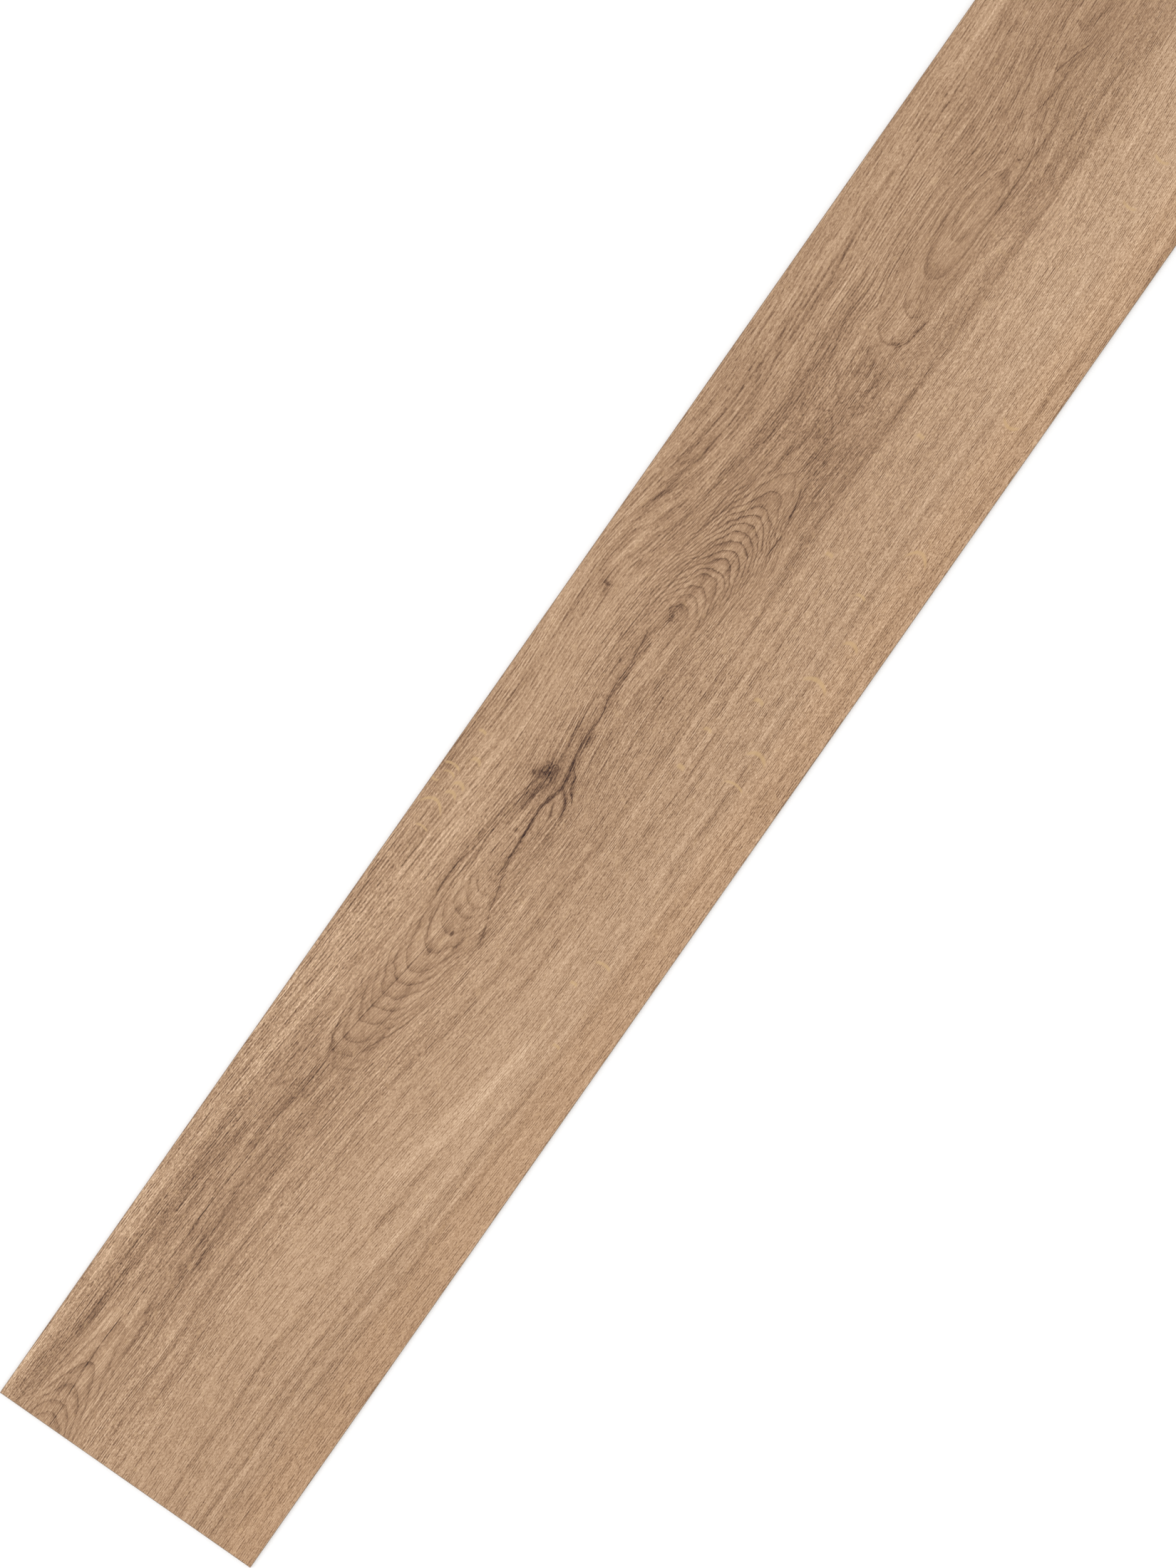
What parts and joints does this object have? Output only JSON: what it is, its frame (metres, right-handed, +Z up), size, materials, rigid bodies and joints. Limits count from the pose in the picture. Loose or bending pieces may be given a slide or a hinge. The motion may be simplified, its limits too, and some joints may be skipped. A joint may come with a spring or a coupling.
{
  "type": "vinyl floor plank",
  "caption": "Thin flat rectangular vinyl floor plank with an oak print, square die-cut edges and a micro-bevelled face, glued down edge to edge to make a floor.",
  "frame": {"origin": "middle of the back, where the plank is glued to the subfloor", "axes": "+X along the plank, from the end that the picture shows to the one that it cuts off, +Y across it, +Z up out of the printed face"},
  "size_m": [1.2192, 0.1842, 0.0025],
  "materials": {
    "vinyl": "matte vinyl with an embossed oak print"
  },
  "bodies": {
    "root": {"plank": "vinyl"}
  },
  "joints": []
}
